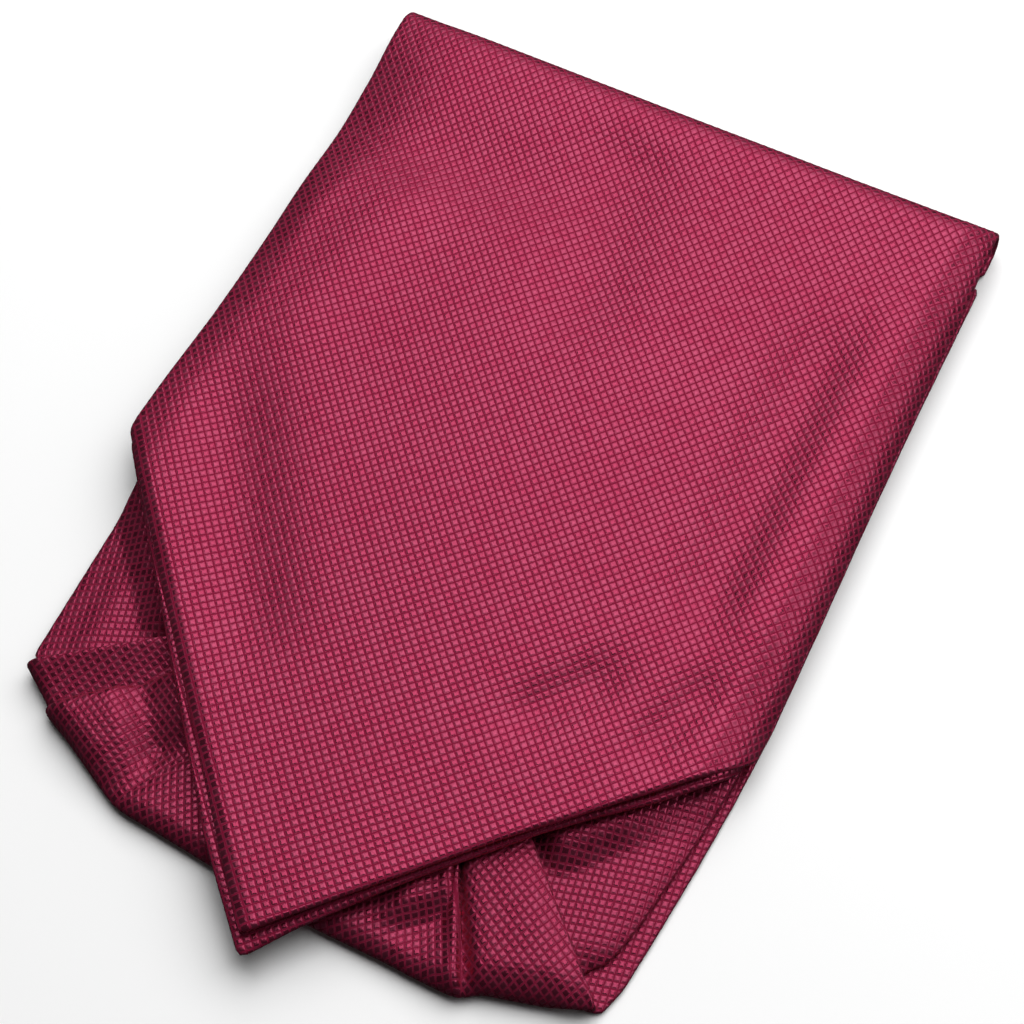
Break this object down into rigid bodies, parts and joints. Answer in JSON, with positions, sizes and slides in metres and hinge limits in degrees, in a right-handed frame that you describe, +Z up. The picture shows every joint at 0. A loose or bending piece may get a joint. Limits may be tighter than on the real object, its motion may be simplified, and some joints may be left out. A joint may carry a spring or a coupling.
{
  "type": "silk cravat",
  "caption": "Crimson silk cravat folded flat in three runs, pointed blades on top, pleated neck stretch turned up over the lower fold.",
  "frame": {"origin": "under the middle of the folded garment, on the surface it lies on", "axes": "+Z up, +Y along the blades from their points to the top fold, +X across the blades"},
  "size_m": [0.1518, 0.2122, 0.0131],
  "materials": {
    "blade_silk": "crimson silk with a small raised square weave and a soft satin sheen",
    "lower_silk": "the same crimson woven silk, on the two lower sheets and inside the stack",
    "neck_silk": "the same crimson woven silk, on the pleated neck stretch"
  },
  "bodies": {
    "root": {"front_blade": "blade_silk", "rear_blade": "blade_silk", "lower_inner": "lower_silk", "lower_outer": "lower_silk", "hidden_layers": "lower_silk", "neck_panel": "neck_silk", "neck_pleat_upper_left": "neck_silk", "neck_pleat_lower_left": "neck_silk", "neck_pleat_ridge": "neck_silk", "neck_pleat_right": "neck_silk"}
  },
  "joints": []
}
